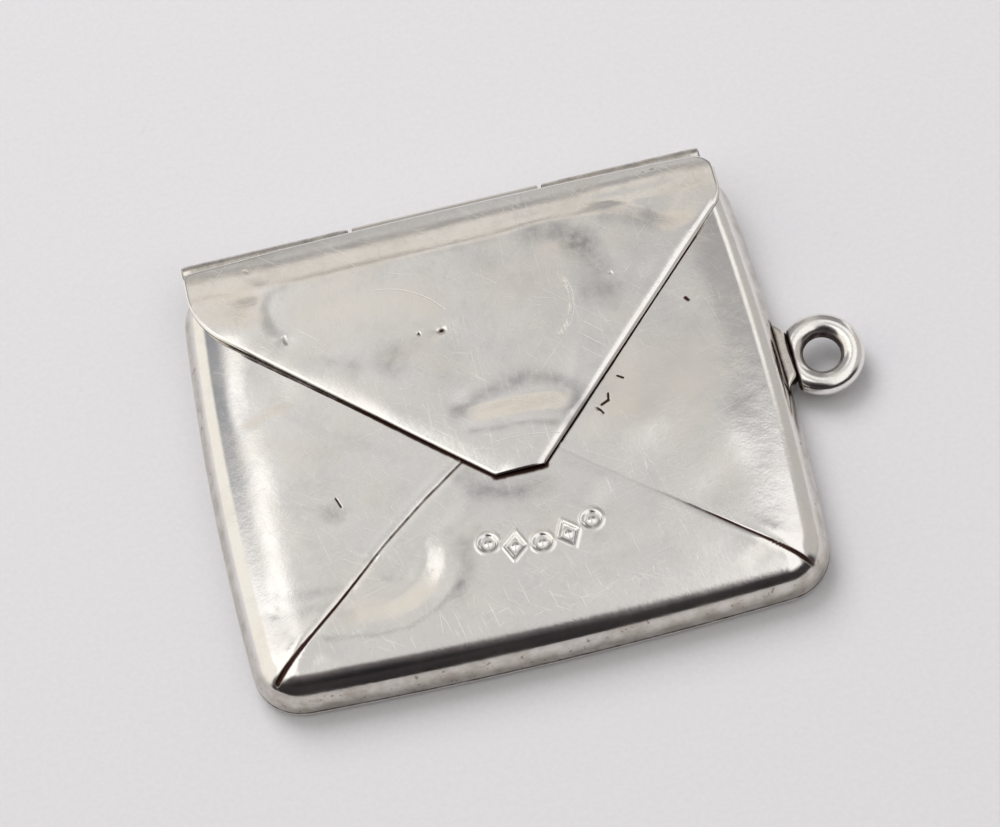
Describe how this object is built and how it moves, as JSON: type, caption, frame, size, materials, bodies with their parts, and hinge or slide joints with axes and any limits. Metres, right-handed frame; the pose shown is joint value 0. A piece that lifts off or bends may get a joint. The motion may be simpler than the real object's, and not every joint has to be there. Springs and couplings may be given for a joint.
{
  "type": "stamp case",
  "caption": "Small envelope-shaped silver stamp case with a hinged triangular flap over its mouth and a fixed suspension ring on one side.",
  "frame": {"origin": "centre of the case's flat back face, on the plane that it rests on", "axes": "+X along the case's width towards the suspension ring, +Y towards the hinge edge, +Z out of the front, which the flap closes over"},
  "size_m": [0.0319, 0.0239, 0.0032],
  "materials": {
    "polished_silver": "polished sterling silver with fine scratches and small dents",
    "aged_silver": "sterling silver dulled by age, dark in its crevices"
  },
  "bodies": {
    "case": {"front_shell": "polished_silver", "back_plate": "polished_silver", "left_knuckle": "aged_silver", "right_knuckle": "aged_silver", "hinge_pin": "aged_silver", "ring_plate": "aged_silver", "suspension_ring": "polished_silver"},
    "lid": {"lid_flap": "polished_silver", "lid_knuckle": "aged_silver"}
  },
  "joints": [
    {"name": "lid_hinge", "type": "hinge", "parent": "case", "child": "lid", "pos_m": [0, 0.01168, 0.00218], "axis": [-1, 0, 0], "range_deg": [0, 165]}
  ]
}
